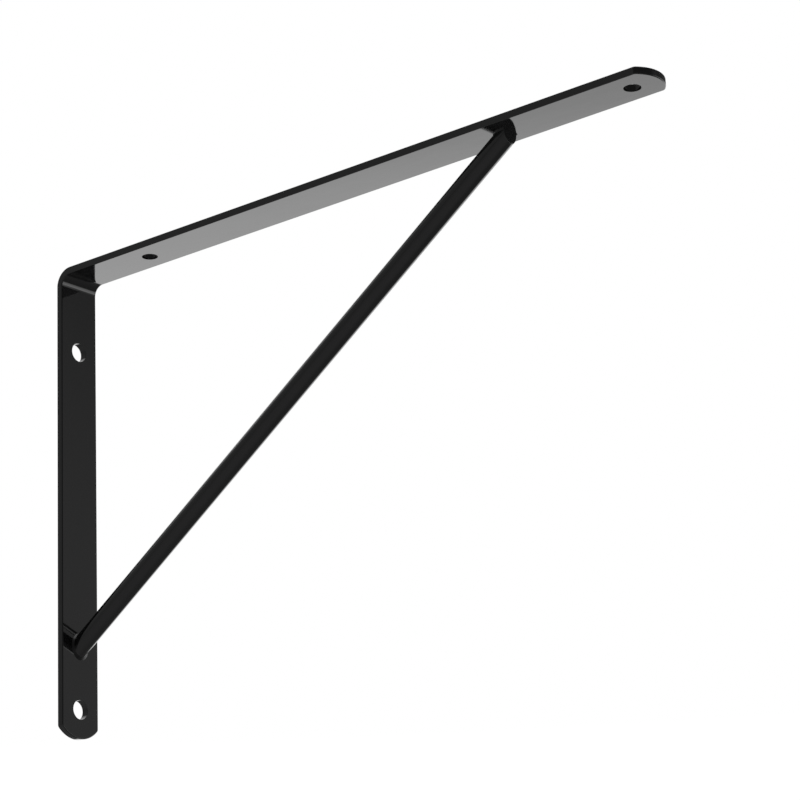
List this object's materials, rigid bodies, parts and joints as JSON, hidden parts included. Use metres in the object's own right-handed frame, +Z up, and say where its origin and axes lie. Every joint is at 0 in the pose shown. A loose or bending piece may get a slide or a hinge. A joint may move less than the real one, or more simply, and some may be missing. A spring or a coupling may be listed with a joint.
{
  "type": "shelf bracket",
  "caption": "Steel shelf bracket: a flat bar bent to a right angle with screw holes in both arms, braced by a welded slanting round strut, in gloss black enamel.",
  "frame": {"origin": "on the wall face, midway between the wall screw holes", "axes": "+X out from the wall along the shelf arm, +Z up towards the shelf, Y across the bar's width"},
  "size_m": [0.3, 0.02, 0.2],
  "materials": {
    "black_enamel": "gloss"
  },
  "bodies": {
    "root": {"angle_bar": "black_enamel", "strut": "black_enamel", "upper_weld": "black_enamel", "lower_weld": "black_enamel"}
  },
  "joints": []
}
